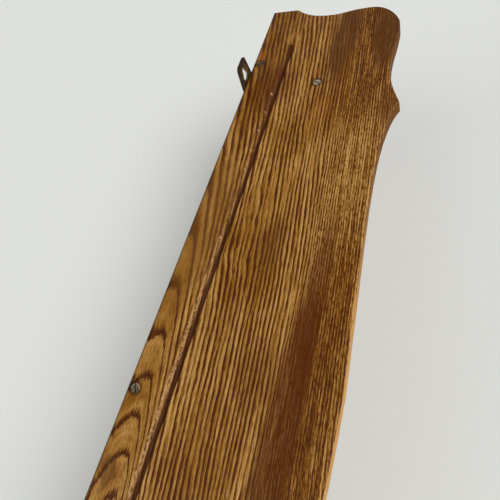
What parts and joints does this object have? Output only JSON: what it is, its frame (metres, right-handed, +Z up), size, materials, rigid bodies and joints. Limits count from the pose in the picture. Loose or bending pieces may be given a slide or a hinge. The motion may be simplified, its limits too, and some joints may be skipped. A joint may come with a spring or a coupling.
{
  "type": "wall shelf",
  "caption": "Oak wall shelf with shaped ends, a serpentine front and a plate groove, on a back rail and brackets, hung from keyhole plates.",
  "frame": {"origin": "on the wall plane, midway between the centres of the two hanging plates' keyhole entries", "axes": "+X along the shelf to the viewer's right, +Y towards the wall, +Z up"},
  "size_m": [0.8382, 0.154, 0.1998],
  "materials": {
    "varnished_oak": "golden-brown stained oak, satin varnish, dark open grain",
    "tarnished_brass": "dark tarnish with a little green",
    "worn_screw_steel": "dull, worn bright on the heads",
    "brass_screws": "dull"
  },
  "bodies": {
    "root": {"shelf_board": "varnished_oak", "back_rail": "varnished_oak", "bracket_left": "varnished_oak", "bracket_right": "varnished_oak", "hanging_plate_left": "tarnished_brass", "hanging_plate_right": "tarnished_brass", "rail_screw_left": "worn_screw_steel", "rail_screw_middle": "worn_screw_steel", "rail_screw_right": "worn_screw_steel", "bracket_top_screw_left": "worn_screw_steel", "bracket_top_screw_right": "worn_screw_steel", "bracket_back_screw_left_upper": "worn_screw_steel", "bracket_back_screw_left_lower": "worn_screw_steel", "bracket_back_screw_right_upper": "worn_screw_steel", "bracket_back_screw_right_lower": "worn_screw_steel", "plate_screw_left_inner": "brass_screws", "plate_screw_left_outer": "brass_screws", "plate_screw_right_inner": "brass_screws", "plate_screw_right_outer": "brass_screws"}
  },
  "joints": []
}
